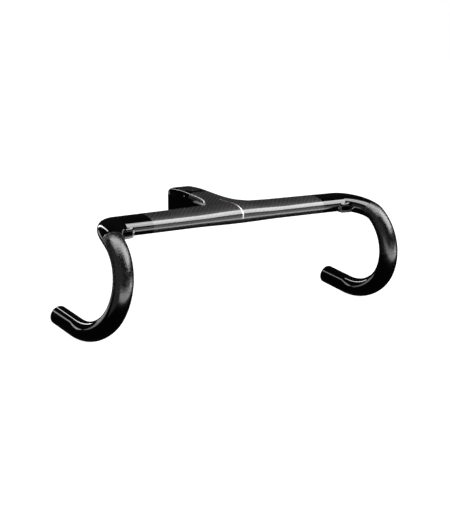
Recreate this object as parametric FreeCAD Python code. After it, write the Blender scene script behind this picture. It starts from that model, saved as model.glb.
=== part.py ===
"""One-piece racing cockpit: an integrated stem and aero drop handlebar in moulded carbon.

Frame: +Z runs up the steerer axis, -Y points forward and +X is the rider's left. The origin is on the
steerer axis at half the height of the clamp. All sizes are in millimetres.
A hollow centre moulding (stem and tops) is bonded to two hollow drops over inner joint sleeves. Brake
and gear lines enter a port in the front of each drop and leave under the stem, ahead of the steerer.
"""
import FreeCAD, Part
import math
import os

from FreeCAD import Vector

# Steerer clamp at the back of the stem
STEERER_R = 14.3
STEERER_WALL = 4.1
CLAMP_WIDTH = 38.0
CLAMP_HEIGHT = 38.0
CLAMP_REAR = 27.0
CLAMP_CORNER_R = 7.5
CLAMP_SLOT = 2.0
FOOT_R = 17.8
FOOT_PROUD = 0.2
BORE_RUNOUT = 4.0

# Stem: square-shouldered at the clamp, flaring out into the tops
STEM_REACH = 96.8
BAR_DROP = 1.5
STEM_FRONT_WIDTH = 141.0
STEM_FLARE_POWER = 6.2
STEM_SQUARENESS = 5.0
STEM_WALL = 3.0

# Tops: a flattened wing section, a little deeper at its middle
TOPS_HALF = 167.5
TOPS_SWEEP = -0.8
TOPS_FALL = 1.2
TOPS_TILT = -10.0
CENTRE_CHORD = 41.7
SHOULDER_CHORD = 37.6
TOPS_DEPTH = 20.5
CENTRE_SWELL = 2.6
SWELL_HALF = 70.0
TOPS_SQUARENESS = 2.5
BAR_WALL = 2.2

# Bonded joints between the centre moulding and the drops
JOINT_X = 131.0
SLEEVE_HALF = 17.0
SLEEVE_WALL = 1.6
GLUE_GAP = 0.55

# Hooks: tangent arcs in a plane that leans outwards going down
HOOK_X = 197.5
HOOK_AHEAD = 44.5
HOOK_BELOW = 14.3
HOOK_FLARE = 6.3
HOOK_TOE = -1.3
HOOK_START = 38.7
BEND_REACH = 0.85
HOOK_ARCS = ((54.3, 99.8), (62.6, 144.0), (88.7, 189.2))
DROP_END_RUN = 42.0
GRIP_R = 12.0
BAR_END_R = 10.2
STATION_STEP = 8.0
LEAD_IN = 24.0
HOOK_NECK = (24.5, 21.5)

# Cable ports in the front of the drops
PORT_AT = (167.0, -116.2, -8.4)
PORT_YAW = 14.0
PORT_HOLE = (15.4, 7.4)
PORT_LIP = (22.0, 11.8)
PORT_RISE = 2.6
PORT_LIP_ROOT = -10.0
PORT_LIP_EDGE = 1.4
PORT_CUT = (-14.0, 8.0)
GROMMET_WALL = 0.9
GROMMET_ROOT = -3.5
GROMMET_SINK = 0.3

# Clamp bolts, across the slot, with their heads in the left ear
BOLT_R = 2.5
BOLT_HEAD_R = 4.25
BOLT_HEAD_H = 5.0
BOLT_KEY = 4.0
BOLT_LENGTH = 20.0
BOLT_Y = 20.6
BOLT_Z = 10.5
WASHER_T = 1.0
SEAT_X = 11.0
SEAT_PLAY = 0.05
SHANK_PLAY = 0.3
HEAD_PLAY = 0.5
HEAD_EDGE = 0.4
KEY_DEPTH = 2.5
INSERT_R = 4.5
INSERT_LENGTH = 10.0
INSERT_PLAY = 0.03
BOLT_TIP_ROOM = 1.2

# Top cover over the steerer
COVER_R = 15.2
COVER_SEAT_Z = 15.0
COVER_T = 2.2
COVER_EDGE = 0.4
COVER_PLAY = 0.4
O_RING_R = 0.55
O_RING_BITE = 0.25

# Underside of the stem: cable outlet, cover and its two screws
OUTLET_HALF_WIDTH = 8.0
OUTLET_Y = (-20.5, -29.5)
CABLE_COVER_Y = (-66.0, -32.0)
CABLE_COVER_HALF = 11.0
CABLE_COVER_T = 2.0
SCREW_INSET = 4.2
SCREW_R = 1.5
SCREW_HEAD_R = 2.8
SCREW_HEAD_H = 1.5
SCREW_LENGTH = 8.0
SCREW_KEY = 2.0
SCREW_SINK = 0.15
SCREW_GAP = 0.12
COVER_BOSS_R = 4.2
COVER_BOSS_TOP = 10.0
COVER_INSERT_R = 2.3
COVER_INSERT_LENGTH = 6.0
COVER_INSERT_RISE = 0.45
SHELL_INSIDE_Z = -8.0

# Computer mount: two threaded inserts in a flat pad under the middle of the bar
PAD_HALF = (17.0, 6.5)
PAD_Y = -99.0
PAD_Z = -14.0
PAD_INSERT_SPACING = 20.0
PAD_INSERT_R = 3.0
PAD_INSERT_LENGTH = 6.0
PAD_THREAD_R = 1.65
PAD_POST_R = 4.6
PAD_SINK = 5.0

# Clearances
FIT_GAP = 0.1
COVER_GAP = 0.25

X_AXIS = Vector(1, 0, 0)
Y_AXIS = Vector(0, 1, 0)
Z_AXIS = Vector(0, 0, 1)
BAR_Y = -STEM_REACH


def export(name, shape):
    """Writes one node, as one solid or a compound of solids."""
    solids = shape.Solids
    made = solids[0] if len(solids) == 1 else Part.makeCompound(solids)
    made.exportStep(os.path.join("parts", name + ".step"))
    print(f"{name:24s} solids {len(solids)} valid {made.isValid()} cm3 {made.Volume / 1000:.2f}")


def mirrored(shape):
    return shape.mirror(Vector(0, 0, 0), X_AXIS)


def rod(radius, start, end):
    """A cylinder between two points."""
    along = end - start
    return Part.makeCylinder(radius, along.Length, start, along)


def block(low, high):
    size = Vector(*high) - Vector(*low)
    return Part.makeBox(size.x, size.y, size.z, Vector(*low))


def hexagon(across_flats, start, end):
    """A hexagonal prism between two points, such as a key socket."""
    along = end - start
    corner = across_flats / math.sqrt(3)
    other = Z_AXIS if abs(along.x) > abs(along.z) else X_AXIS
    axis = Vector(along)
    axis.normalize()
    cross = axis.cross(other)
    turns = [math.radians(60 * i) for i in range(7)]
    ring = [start + other * corner * math.cos(a) + cross * corner * math.sin(a) for a in turns]
    return Part.Face(Part.makePolygon(ring)).extrude(along)


def section_wire(centre, side, up, width, depth, squareness):
    """A closed smooth superellipse: 2 is a plain ellipse, more is squarer."""
    points = []
    count = 28 if squareness > 3 else 20
    for i in range(count):
        turn = 2 * math.pi * i / count
        c, s = math.cos(turn), math.sin(turn)
        across = math.copysign(abs(c) ** (2 / squareness), c) * width / 2
        rise = math.copysign(abs(s) ** (2 / squareness), s) * depth / 2
        points.append(centre + side * across + up * rise)
    curve = Part.BSplineCurve()
    curve.interpolate(Points=points, PeriodicFlag=True)
    return Part.Wire(curve.toShape())


# ---- Tops -------------------------------------------------------------------------------------------

def tops_point(x):
    """The centreline of the tops; x may be either side of the middle."""
    share = abs(x) / TOPS_HALF
    return Vector(x, BAR_Y + TOPS_SWEEP * share ** 2, -BAR_DROP - TOPS_FALL * share)


def tops_section(x):
    """Chord and depth of the tops at x."""
    share = min(abs(x) / TOPS_HALF, 1.0)
    chord = CENTRE_CHORD + (SHOULDER_CHORD - CENTRE_CHORD) * share
    swell = 0.0
    if abs(x) < SWELL_HALF:
        swell = CENTRE_SWELL * (1 + math.cos(math.pi * x / SWELL_HALF)) / 2
    return chord, TOPS_DEPTH + swell


def tops_up():
    tilt = math.radians(TOPS_TILT)
    return Vector(0, math.sin(tilt), math.cos(tilt))


def tops_solid(from_x, to_x, inset=0.0, count=12):
    """The wing between two stations along X, drawn in by inset."""
    up = tops_up()
    side = X_AXIS.cross(up)
    wires = []
    for i in range(count + 1):
        x = from_x + (to_x - from_x) * i / count
        chord, depth = tops_section(x)
        wires.append(section_wire(
            tops_point(x), side, up, chord - 2 * inset, depth - 2 * inset, TOPS_SQUARENESS))
    return Part.makeLoft(wires, True, False)


# ---- Stem -------------------------------------------------------------------------------------------

def stem_section(y):
    """Width, height and mid-height of the stem at y."""
    share = max(-y / STEM_REACH, 0.0)
    width = CLAMP_WIDTH + (STEM_FRONT_WIDTH - CLAMP_WIDTH) * share ** STEM_FLARE_POWER
    height = CLAMP_HEIGHT + (TOPS_DEPTH - CLAMP_HEIGHT) * share
    return width, height, -BAR_DROP * share


def stem_solid(from_y, inset=0.0, count=14):
    """The stem from from_y to the middle of the bar, drawn in by inset."""
    stations = [from_y, from_y / 2] if from_y > 0 else []
    start = min(from_y, 0.0)
    stations += [start + (BAR_Y - start) * i / count for i in range(count + 1)]
    wires = []
    for y in stations:
        width, height, middle = stem_section(y)
        wires.append(section_wire(
            Vector(0, y, middle), X_AXIS, Z_AXIS, width - 2 * inset, height - 2 * inset, STEM_SQUARENESS))
    return Part.makeLoft(wires, True, False)


def rounded_end(normal, half_width):
    """A deep prism whose two rear corners are rounded, seen along normal."""
    across = X_AXIS if normal == Z_AXIS else Z_AXIS
    r, rear, reach = CLAMP_CORNER_R, CLAMP_REAR, STEM_REACH * 2

    def at(along_y, along_across, along_normal=-reach / 2):
        return Y_AXIS * along_y + across * along_across + normal * along_normal

    w = half_width
    corner = r * (1 - math.sqrt(0.5))
    edges = [
        Part.makeLine(at(-reach, -w), at(rear - r, -w)),
        Part.Arc(at(rear - r, -w), at(rear - corner, -w + corner), at(rear, -w + r)).toShape(),
        Part.makeLine(at(rear, -w + r), at(rear, w - r)),
        Part.Arc(at(rear, w - r), at(rear - corner, w - corner), at(rear - r, w)).toShape(),
        Part.makeLine(at(rear - r, w), at(-reach, w)),
        Part.makeLine(at(-reach, w), at(-reach, -w)),
    ]
    return Part.Face(Part.Wire(edges)).extrude(normal * reach)


def stem_outer():
    """The stem's outside, with its back end rounded in plan and in side view."""
    stem = stem_solid(CLAMP_REAR + 4)
    rear = block((-40, -20, -40), (40, CLAMP_REAR + 10, 40))
    back = stem.common(rear)
    back = back.common(rounded_end(Z_AXIS, CLAMP_WIDTH / 2 + 0.2))
    back = back.common(rounded_end(X_AXIS, CLAMP_HEIGHT / 2 + 0.2))
    return stem.cut(rear).fuse(back)


def clamp_foot():
    """A round flat foot under the clamp, which the headset spacer bears on."""
    low = -CLAMP_HEIGHT / 2 - FOOT_PROUD
    return rod(FOOT_R, Vector(0, 0, low), Vector(0, 0, 0))


def clamp_cuts():
    """Everything that is cut through the clamp: bore, slot, seats and bolt holes."""
    top = CLAMP_HEIGHT
    cuts = [
        rod(STEERER_R, Vector(0, 0, -top), Vector(0, 0, top)),
        rod(COVER_R + COVER_PLAY, Vector(0, 0, COVER_SEAT_Z), Vector(0, 0, top)),
        block(
            (-CLAMP_SLOT / 2, STEERER_R - BORE_RUNOUT, -top),
            (CLAMP_SLOT / 2, CLAMP_REAR + BORE_RUNOUT, top)),
    ]
    for z in (BOLT_Z, -BOLT_Z):
        def at(x):
            return Vector(x, BOLT_Y, z)
        insert_end = -CLAMP_SLOT / 2 - INSERT_LENGTH - FIT_GAP
        cuts.append(rod(BOLT_R + SHANK_PLAY, at(insert_end - BOLT_TIP_ROOM), at(SEAT_X + 1)))
        cuts.append(rod(BOLT_HEAD_R + HEAD_PLAY, at(SEAT_X), at(CLAMP_WIDTH)))
        cuts.append(rod(INSERT_R + INSERT_PLAY, at(insert_end), at(0)))
    return cuts


# ---- Underside of the stem and bar ------------------------------------------------------------------

def cover_column(grow=0.0, low=-40.0, high=0.0):
    """The upright column over the cable cover's outline."""
    half = CABLE_COVER_HALF + grow
    return block((-half, CABLE_COVER_Y[0] - grow, low), (half, CABLE_COVER_Y[1] + grow, high))


def screw_places():
    return {
        "front": Vector(0, CABLE_COVER_Y[0] + SCREW_INSET, 0),
        "rear": Vector(0, CABLE_COVER_Y[1] - SCREW_INSET, 0),
    }


def underside(y):
    """Height of the stem's lower face at y."""
    _, height, middle = stem_section(y)
    return middle - height / 2


def cover_bosses():
    """Posts inside the stem that hold the cable cover's threaded inserts."""
    posts = []
    for place in screw_places().values():
        foot = place + Z_AXIS * underside(place.y)
        posts.append(rod(COVER_BOSS_R, foot + Z_AXIS, foot + Z_AXIS * COVER_BOSS_TOP))
    return posts


def cover_cuts():
    """Pocket, window and screw holes for the cable cover, and the outlet behind it."""
    pocket = cover_column(COVER_GAP).cut(stem_solid(0.0, CABLE_COVER_T + FIT_GAP))
    seat = 2 * SCREW_INSET + 1
    low = -CLAMP_HEIGHT
    window = block(
        (-OUTLET_HALF_WIDTH, CABLE_COVER_Y[0] + seat, low),
        (OUTLET_HALF_WIDTH, CABLE_COVER_Y[1] - seat, SHELL_INSIDE_Z))
    outlet = block(
        (-OUTLET_HALF_WIDTH, OUTLET_Y[1], low), (OUTLET_HALF_WIDTH, OUTLET_Y[0], SHELL_INSIDE_Z))
    holes = []
    for place in screw_places().values():
        _, high = cover_insert_ends(place)
        holes.append(rod(COVER_INSERT_R + INSERT_PLAY, place + Z_AXIS * low, high + Z_AXIS * FIT_GAP))
    return [pocket, window, outlet] + holes


def cable_cover():
    plate = stem_solid(0.0).cut(stem_solid(0.0, CABLE_COVER_T))
    plate = plate.common(cover_column(0.0, high=SHELL_INSIDE_Z))
    for place in screw_places().values():
        hole = rod(SCREW_R + SCREW_GAP, place - Z_AXIS * CLAMP_HEIGHT, place)
        plate = plate.cut(screw_cone(place, SCREW_GAP, 1.0)).cut(hole)
    return plate


def screw_face(place):
    """Middle of a cover screw's flat head, just under the cover's surface."""
    return place + Z_AXIS * (underside(place.y) + SCREW_SINK)


def screw_cone(place, grow=0.0, beyond=0.0):
    """A cover screw's countersunk head, or the room for it, carried on past its flat face."""
    slope = (SCREW_HEAD_R - SCREW_R) / SCREW_HEAD_H
    base = screw_face(place) - Z_AXIS * beyond
    wide = SCREW_HEAD_R + grow + slope * beyond
    return Part.makeCone(wide, SCREW_R + grow, SCREW_HEAD_H + beyond, base, Z_AXIS)


def cover_screw(place):
    face = screw_face(place)
    shank = rod(SCREW_R, face + Z_AXIS * (SCREW_HEAD_H - FIT_GAP), face + Z_AXIS * SCREW_LENGTH)
    key = hexagon(SCREW_KEY, face - Z_AXIS * FIT_GAP, face + Z_AXIS * SCREW_HEAD_H * 0.8)
    return screw_cone(place).fuse(shank).cut(key).removeSplitter()


def cover_insert_ends(place):
    low = place + Z_AXIS * (underside(place.y) + CABLE_COVER_T + COVER_INSERT_RISE)
    return low, low + Z_AXIS * COVER_INSERT_LENGTH


def cover_insert(place):
    low, high = cover_insert_ends(place)
    return rod(COVER_INSERT_R, low, high).cut(rod(SCREW_R + FIT_GAP, low - Z_AXIS, high + Z_AXIS))


def pad_places():
    half = PAD_INSERT_SPACING / 2
    return [Vector(x, PAD_Y, PAD_Z) for x in (-half, half)]


def computer_pad():
    """A flat oval pad under the middle of the bar, with a post over each insert."""
    half_x, half_y = PAD_HALF
    top = PAD_Z + PAD_SINK
    pad = block((-half_x + half_y, PAD_Y - half_y, PAD_Z), (half_x - half_y, PAD_Y + half_y, top))
    for x in (-half_x + half_y, half_x - half_y):
        pad = pad.fuse(rod(half_y, Vector(x, PAD_Y, PAD_Z), Vector(x, PAD_Y, top)))
    for post in pad_posts():
        pad = pad.fuse(post)
    return pad


def pad_posts():
    """Posts inside the bar, one over each of the pad's inserts."""
    return [rod(PAD_POST_R, p + Z_AXIS, p + Z_AXIS * (PAD_INSERT_LENGTH + 2)) for p in pad_places()]


# ---- Drops ------------------------------------------------------------------------------------------

def hook_plane():
    """The forward and downward directions of the left hook's plane."""
    toe, flare = math.radians(HOOK_TOE), math.radians(HOOK_FLARE)
    ahead = Vector(math.sin(toe), -math.cos(toe), 0)
    down = Vector(math.sin(flare), 0, -math.cos(flare))
    down = down - ahead * down.dot(ahead)
    down.normalize()
    return ahead, down


def heading(angle):
    """A direction in the hook's plane: 0 is forward, 90 is down and 180 is back to the rider."""
    ahead, down = hook_plane()
    return ahead * math.cos(math.radians(angle)) + down * math.sin(math.radians(angle))


def bend_points(count):
    """The outer bend as one cubic, from the end of the tops to the start of the hook."""
    start = tops_point(TOPS_HALF)
    end = Vector(HOOK_X, BAR_Y - HOOK_AHEAD, -BAR_DROP - HOOK_BELOW)
    leave = Vector(TOPS_HALF, 2 * TOPS_SWEEP, -TOPS_FALL)
    leave.normalize()
    reach = BEND_REACH * (end - start).Length
    points = []
    for i in range(1, count + 1):
        t = i / count
        points.append(
            start * (2 * t ** 3 - 3 * t ** 2 + 1)
            + leave * reach * (t ** 3 - 2 * t ** 2 + t)
            + end * (3 * t ** 2 - 2 * t ** 3)
            + heading(HOOK_START) * reach * (t ** 3 - t ** 2)
        )
    return points


def arc_points(start, from_angle, to_angle, radius, count):
    """Points along one arc of the hook, after its start."""
    centre = start + heading(from_angle + 90) * radius
    step = (to_angle - from_angle) / count
    return [centre - heading(from_angle + step * i + 90) * radius for i in range(1, count + 1)]


def drop_line(from_x, run, fine=24):
    """The drop's sections as (point, width, depth, squareness), closely spaced, with a straight run last."""
    line = []
    for i in range(fine + 1):
        x = from_x + (TOPS_HALF - from_x) * i / fine
        line.append((tops_point(x), *tops_section(x), TOPS_SQUARENESS))
    chord, depth = tops_section(TOPS_HALF)
    for i, point in enumerate(bend_points(fine), 1):
        share = i / fine
        blend = share * share * (3 - 2 * share)
        line.append((
            point,
            chord + (HOOK_NECK[0] - chord) * blend,
            depth + (HOOK_NECK[1] - depth) * blend,
            TOPS_SQUARENESS + (2 - TOPS_SQUARENESS) * blend))
    angle = HOOK_START
    for index, (radius, to_angle) in enumerate(HOOK_ARCS):
        for i, point in enumerate(arc_points(line[-1][0], angle, to_angle, radius, fine), 1):
            share = i / fine if index == 0 else 1.0
            width = HOOK_NECK[0] + (2 * GRIP_R - HOOK_NECK[0]) * share
            depth = HOOK_NECK[1] + (2 * GRIP_R - HOOK_NECK[1]) * share
            line.append((point, width, depth, 2.0))
        angle = to_angle
    last = line[-1][0]
    for i in range(1, fine + 1):
        line.append((last + heading(angle) * (run * i / fine), 2 * GRIP_R, 2 * GRIP_R, 2.0))
    return line


def drop_stations(from_x, run):
    """The drop's sections at even steps along its path."""
    line = drop_line(from_x, run)
    lengths = [0.0]
    for before, after in zip(line, line[1:]):
        lengths.append(lengths[-1] + (after[0] - before[0]).Length)
    count = round(lengths[-1] / STATION_STEP)
    stations = []
    at = 0
    for i in range(count + 1):
        target = lengths[-1] * i / count
        while at < len(line) - 2 and lengths[at + 1] < target:
            at += 1
        share = (target - lengths[at]) / (lengths[at + 1] - lengths[at])
        near, far = line[at], line[at + 1]
        stations.append(tuple(n + (f - n) * share for n, f in zip(near, far)))
    return stations


def lofted(stations, inset=0.0):
    """A solid through the stations, each section square to the path and carried without twist."""
    points = [s[0] for s in stations]
    up = tops_up()
    wires = []
    for i, (point, width, depth, squareness) in enumerate(stations):
        along = points[min(i + 1, len(points) - 1)] - points[max(i - 1, 0)]
        if i == 0:
            along = X_AXIS
        if i == len(points) - 1:
            along = heading(HOOK_ARCS[-1][1])
        along = Vector(along)
        along.normalize()
        up = up - along * up.dot(along)
        up.normalize()
        wires.append(section_wire(
            point, along.cross(up), up, width - 2 * inset, depth - 2 * inset, squareness))
    return Part.makeLoft(wires, True, False)


def port_frame():
    """Centre of the left port, the way it faces, and its long and short directions."""
    yaw = math.radians(PORT_YAW)
    faces = Vector(-math.sin(yaw), -math.cos(yaw), 0)
    return Vector(*PORT_AT), faces, Z_AXIS.cross(faces), Z_AXIS


def port_prism(width, height, low, high):
    """An oval prism along the port's axis, from low to high beyond its centre."""
    centre, faces, along, _ = port_frame()
    r = height / 2
    half = width / 2 - r
    base = centre + faces * low

    def at(u, v):
        return base + along * u + Z_AXIS * v

    edges = [
        Part.makeLine(at(-half, -r), at(half, -r)),
        Part.Arc(at(half, -r), at(half + r, 0), at(half, r)).toShape(),
        Part.makeLine(at(half, r), at(-half, r)),
        Part.Arc(at(-half, r), at(-half - r, 0), at(-half, -r)).toShape(),
    ]
    return Part.Face(Part.Wire(edges)).extrude(faces * (high - low))


def left_drop():
    """The left drop; its loft starts inboard of the joint, where it is trimmed square."""
    out = heading(HOOK_ARCS[-1][1])
    stations = drop_stations(JOINT_X - LEAD_IN, DROP_END_RUN)
    end = stations[-1][0]
    hollow = lofted(drop_stations(JOINT_X - LEAD_IN - STATION_STEP, DROP_END_RUN + STATION_STEP), BAR_WALL)
    lead_in = block((0, 2 * BAR_Y, BAR_Y), (JOINT_X, 0, -BAR_Y))
    tube = lofted(stations).cut(lead_in).cut(hollow)
    bore = rod(BAR_END_R, end - out * DROP_END_RUN, end + out)
    lip = port_prism(*PORT_LIP, PORT_LIP_ROOT, PORT_RISE)
    lip = lip.makeFillet(PORT_LIP_EDGE, [e for e in lip.Edges if is_outer_rim(e)]).cut(hollow)
    return tube.fuse(lip).cut(bore).cut(port_prism(*PORT_HOLE, *PORT_CUT))


def is_outer_rim(edge):
    """True for the edges on the port lip's outer face."""
    centre, faces, _, _ = port_frame()
    return all(abs((v.Point - centre).dot(faces) - PORT_RISE) < 0.01 for v in edge.Vertexes)


def left_port_grommet():
    width, height = PORT_HOLE
    play, wall = 2 * INSERT_PLAY, 2 * GROMMET_WALL
    outside = port_prism(width - play, height - play, GROMMET_ROOT, PORT_RISE - GROMMET_SINK)
    return outside.cut(port_prism(width - wall, height - wall, *PORT_CUT))


def joint_sleeve():
    from_x, to_x = JOINT_X - SLEEVE_HALF, JOINT_X + SLEEVE_HALF
    outside = BAR_WALL + GLUE_GAP
    sleeve = tops_solid(from_x, to_x, outside, 4)
    return sleeve.cut(tops_solid(from_x - 1, to_x + 1, outside + SLEEVE_WALL, 4))


# ---- Assembly ---------------------------------------------------------------------------------------

def centre_moulding():
    outer = tops_solid(-JOINT_X, JOINT_X).fuse(stem_outer().fuse(clamp_foot())).fuse(computer_pad())
    sleeve = rod(STEERER_R + STEERER_WALL, Z_AXIS * -CLAMP_HEIGHT, Z_AXIS * CLAMP_HEIGHT)
    hollow = stem_solid(-2.0, STEM_WALL).cut(sleeve)
    hollow = hollow.fuse(tops_solid(-JOINT_X - 1, JOINT_X + 1, BAR_WALL))
    for post in cover_bosses() + pad_posts():
        hollow = hollow.cut(post)
    moulding = outer.cut(hollow)
    deep = PAD_INSERT_LENGTH + FIT_GAP
    holes = [rod(PAD_INSERT_R + INSERT_PLAY, p - Z_AXIS, p + Z_AXIS * deep) for p in pad_places()]
    for cut in clamp_cuts() + cover_cuts() + holes:
        moulding = moulding.cut(cut)
    return moulding


def clamp_washer(z):
    def at(x):
        return Vector(x, BOLT_Y, z)
    low = SEAT_X + SEAT_PLAY
    high = low + WASHER_T
    hole = rod(BOLT_R + SHANK_PLAY / 2, at(low - 1), at(high + 1))
    return rod(BOLT_HEAD_R + FIT_GAP, at(low), at(high)).cut(hole)


def clamp_bolt(z):
    def at(x):
        return Vector(x, BOLT_Y, z)
    under = SEAT_X + WASHER_T + 2 * SEAT_PLAY
    top = under + BOLT_HEAD_H
    head = rod(BOLT_HEAD_R, at(under), at(top))
    head = head.makeChamfer(HEAD_EDGE, [e for e in head.Edges if e.CenterOfMass.x > top - HEAD_EDGE / 2])
    shank = rod(BOLT_R, at(under - BOLT_LENGTH), at(under + BOLT_HEAD_H / 4))
    key = hexagon(BOLT_KEY, at(top - KEY_DEPTH), at(top + 1))
    return head.fuse(shank).cut(key).removeSplitter()


def clamp_insert(z):
    def at(x):
        return Vector(x, BOLT_Y, z)
    near = -CLAMP_SLOT / 2 - SEAT_PLAY
    far = near - INSERT_LENGTH
    return rod(INSERT_R, at(far), at(near)).cut(rod(BOLT_R + FIT_GAP, at(far - 1), at(near + 1)))


def steerer_top_cover():
    low = COVER_SEAT_Z + SEAT_PLAY
    high = low + COVER_T
    disc = rod(COVER_R, Z_AXIS * low, Z_AXIS * high)
    disc = disc.makeChamfer(COVER_EDGE, [e for e in disc.Edges if e.CenterOfMass.z > high - COVER_EDGE / 2])
    return disc.cut(o_ring(O_RING_R + INSERT_PLAY))


def o_ring(thickness_r):
    """A ring round the cover's rim, thickness_r thick from its own centreline."""
    middle = COVER_SEAT_Z + SEAT_PLAY + COVER_T / 2
    return Part.makeTorus(COVER_R - O_RING_BITE, thickness_r, Z_AXIS * middle, Z_AXIS)


def top_cover_o_ring():
    return o_ring(O_RING_R)


def computer_mount_inserts():
    inserts = []
    for place in pad_places():
        low, high = place + Z_AXIS * SEAT_PLAY, place + Z_AXIS * PAD_INSERT_LENGTH
        inserts.append(rod(PAD_INSERT_R, low, high).cut(rod(PAD_THREAD_R, low - Z_AXIS, high + Z_AXIS)))
    return Part.makeCompound(inserts)


def main():
    os.makedirs("parts", exist_ok=True)
    export("centre_moulding", centre_moulding())
    pairs = {"drop": left_drop(), "joint_sleeve": joint_sleeve(), "port_grommet": left_port_grommet()}
    for name, shape in pairs.items():
        export("left_" + name, shape)
        export("right_" + name, mirrored(shape))
    for level, z in (("upper", BOLT_Z), ("lower", -BOLT_Z)):
        export(level + "_clamp_bolt", clamp_bolt(z))
        export(level + "_clamp_washer", clamp_washer(z))
        export(level + "_clamp_insert", clamp_insert(z))
    export("steerer_top_cover", steerer_top_cover())
    export("top_cover_o_ring", top_cover_o_ring())
    export("cable_cover", cable_cover())
    places = screw_places()
    for name, place in places.items():
        export(name + "_cover_screw", cover_screw(place))
    export("cable_cover_inserts", Part.makeCompound([cover_insert(p) for p in places.values()]))
    export("computer_mount_inserts", computer_mount_inserts())


main()
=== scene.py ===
"""Looks of the one-piece racing cockpit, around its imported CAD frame. Its shapes are in millimetres."""
import math

import bpy
import numpy as np
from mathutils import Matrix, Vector
from mathutils.bvhtree import BVHTree


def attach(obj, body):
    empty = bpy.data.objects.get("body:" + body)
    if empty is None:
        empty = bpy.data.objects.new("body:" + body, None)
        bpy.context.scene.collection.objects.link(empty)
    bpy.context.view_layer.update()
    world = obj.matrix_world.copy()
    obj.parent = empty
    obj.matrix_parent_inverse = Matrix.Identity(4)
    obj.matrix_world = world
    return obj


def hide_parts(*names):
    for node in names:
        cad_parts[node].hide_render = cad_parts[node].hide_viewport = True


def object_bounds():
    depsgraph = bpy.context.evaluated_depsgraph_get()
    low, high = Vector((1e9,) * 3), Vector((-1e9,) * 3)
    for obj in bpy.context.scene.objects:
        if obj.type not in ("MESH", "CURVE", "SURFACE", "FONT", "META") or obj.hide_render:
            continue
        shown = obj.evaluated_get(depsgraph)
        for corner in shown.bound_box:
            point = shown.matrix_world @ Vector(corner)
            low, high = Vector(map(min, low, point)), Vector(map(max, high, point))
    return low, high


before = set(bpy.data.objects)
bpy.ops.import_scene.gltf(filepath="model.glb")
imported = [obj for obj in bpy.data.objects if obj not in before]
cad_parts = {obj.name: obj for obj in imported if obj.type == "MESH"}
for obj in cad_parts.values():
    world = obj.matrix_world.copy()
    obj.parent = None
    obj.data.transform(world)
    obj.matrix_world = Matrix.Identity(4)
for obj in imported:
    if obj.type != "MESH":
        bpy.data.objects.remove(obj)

cad_low, cad_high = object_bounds()

# ---- Sizes, in millimetres, as in the CAD part -----------------------------------------------------------
MM = 0.001
STEM_REACH, BAR_DROP = 96.8, 1.5
CLAMP_WIDTH, CLAMP_HEIGHT, CLAMP_REAR, CLAMP_CORNER_R = 38.0, 38.0, 27.0, 7.5
STEM_FRONT_WIDTH, STEM_FLARE_POWER, STEM_SQUARENESS, STEM_WALL = 141.0, 6.2, 5.0, 3.0
TOPS_HALF, TOPS_SWEEP, TOPS_FALL, TOPS_TILT = 167.5, -0.8, 1.2, -10.0
CENTRE_CHORD, SHOULDER_CHORD, TOPS_DEPTH, TOPS_SQUARENESS = 41.7, 37.6, 20.5, 2.5
CENTRE_SWELL, SWELL_HALF, BAR_WALL, JOINT_X = 2.6, 70.0, 2.2, 131.0
HOOK_X, HOOK_AHEAD, HOOK_BELOW, HOOK_FLARE, HOOK_TOE, HOOK_START = 197.5, 44.5, 14.3, 6.3, -1.3, 38.7
BEND_REACH = 0.85
HOOK_ARCS = ((54.3, 99.8), (62.6, 144.0), (88.7, 189.2))
HOOK_NECK, GRIP_R, BAR_END_R, DROP_END_RUN, END_EDGE_R = (24.5, 21.5), 12.0, 10.2, 42.0, 0.5
PORT_AT, PORT_YAW = np.array((167.0, -116.2, -8.4)), 14.0
PORT_HOLE, PORT_LIP, PORT_RISE, PORT_LIP_R = (15.4, 7.4), (22.0, 11.8), 2.6, 1.4
STEERER_R, STEERER_WALL, FOOT_R, FOOT_Z, SLOT_HALF = 14.3, 4.1, 17.8, -19.2, 1.0
COVER_RECESS_R, COVER_SEAT_Z = 15.6, 15.0
BOLT_Y, BOLT_Z, BOLT_HOLE_R, BOLT_HOLE_END_X = 20.6, 10.5, 2.8, -12.3
BOLT_SEAT_R, SEAT_X, INSERT_R, INSERT_END_X = 4.75, 11.0, 4.53, -11.1
CABLE_COVER_Y, CABLE_COVER_HALF, CABLE_COVER_T, SCREW_INSET = (-66.0, -32.0), 11.0, 2.0, 4.2
POCKET_GAP, COVER_BOSS_R, COVER_BORE_R, COVER_BORE_DEPTH = 0.25, 4.2, 2.33, 8.55
OUTLET_Y, OUTLET_HALF = (-29.5, -20.5), 8.0
PAD_HALF, PAD_Y, PAD_Z, PAD_SPACING = (17.0, 6.5), -99.0, -14.0, 20.0
PAD_BOSS_R, PAD_BORE_R, PAD_BORE_DEPTH = 4.6, 3.03, 6.1
BEYOND = 40.0    # past any face of the clamp and the stem

# ---- Looks, in millimetres -------------------------------------------------------------------------------
BLEND_R, BLEND_FROM, BLEND_RUN = 11.0, 5.0, 16.0    # the stem's blend into the tops, and where it starts
REAR_EDGE_R, REAR_SOFTNESS = 11.0, 3.0
SKIN_VOXEL, PULL_ROUNDS, PULL_STEP = 0.8, 9, 0.6
SEAM_REACH, SEAM_ROUNDS, SEAM_RADIUS = 2.4, 20, 22.0
LEVER_ZONE, GRIT_HEIGHT = (84.0, 148.0), 0.14    # the zone is measured along the drop from the joint
TOW, WEAVE_SIDE_GAP, WEAVE_REAR_Y = 1.65, 0.6, -25.0
# LINE_LIT_Y: where the centre line's colour goes from full at the nose to faint over the top, a painted
# highlight on the print where it faces the front light
LINE_HALF, LINE_EDGE, LINE_REAR_Y, LINE_LOW_Z, LINE_LIT_Y = 0.8, 0.2, -68.0, -6.5, (-113.0, -100.0)
RNG = np.random.default_rng(7)

X_AXIS, Y_AXIS, Z_AXIS = np.eye(3)
BAR_Y = -STEM_REACH


# ---- Mesh helpers ----------------------------------------------------------------------------------------

def unit(v):
    return v / np.linalg.norm(v)


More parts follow.
